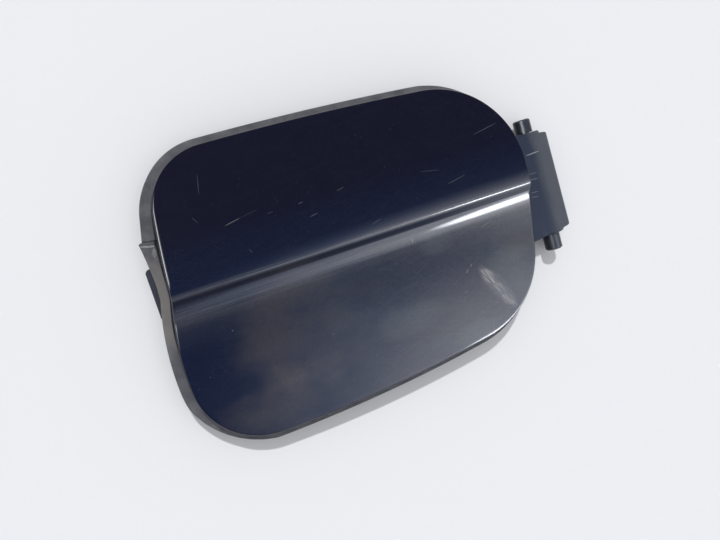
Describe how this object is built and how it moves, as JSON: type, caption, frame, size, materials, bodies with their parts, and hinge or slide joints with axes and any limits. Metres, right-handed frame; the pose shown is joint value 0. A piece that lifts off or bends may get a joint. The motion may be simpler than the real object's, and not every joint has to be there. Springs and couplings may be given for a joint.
{
  "type": "car fuel door",
  "caption": "Rounded crowned car fuel door with a raised crease, rubber lip seal, hinge arm and catch, swinging open about its hinge pin.",
  "frame": {"origin": "on the hinge axis, midway along the hinge arm", "axes": "+X from the free edge towards the hinge and past it, +Y along the hinge axis up the door, +Z out of the painted face"},
  "size_m": [0.2038, 0.1377, 0.0231],
  "materials": {
    "paint": "dark blue-black car paint under clear coat, with fine scratches",
    "carrier_plastic": "moulded black plastic",
    "seal_rubber": "weathered grey rubber",
    "arm_plastic": "grained dark grey plastic",
    "pin_steel": "drawn steel",
    "bush_plastic": "smooth black plastic",
    "catch_plastic": "grained dark grey plastic",
    "screw_steel": "plated steel",
    "stop_rubber": "black rubber"
  },
  "bodies": {
    "hinge": {"hinge_pin": "pin_steel", "bush_upper": "bush_plastic", "bush_lower": "bush_plastic"},
    "door": {"outer_panel": "paint", "inner_carrier": "carrier_plastic", "lip_seal": "seal_rubber", "hinge_arm": "arm_plastic", "catch": "catch_plastic", "mounting_screws": "screw_steel", "stop_upper_free": "stop_rubber", "stop_lower_free": "stop_rubber", "stop_upper_hinge": "stop_rubber", "stop_lower_hinge": "stop_rubber"}
  },
  "joints": [
    {"name": "door_swing", "type": "hinge", "parent": "hinge", "child": "door", "pos_m": [0, 0, 0], "axis": [0, 1, 0], "range_deg": [0, 95]}
  ]
}
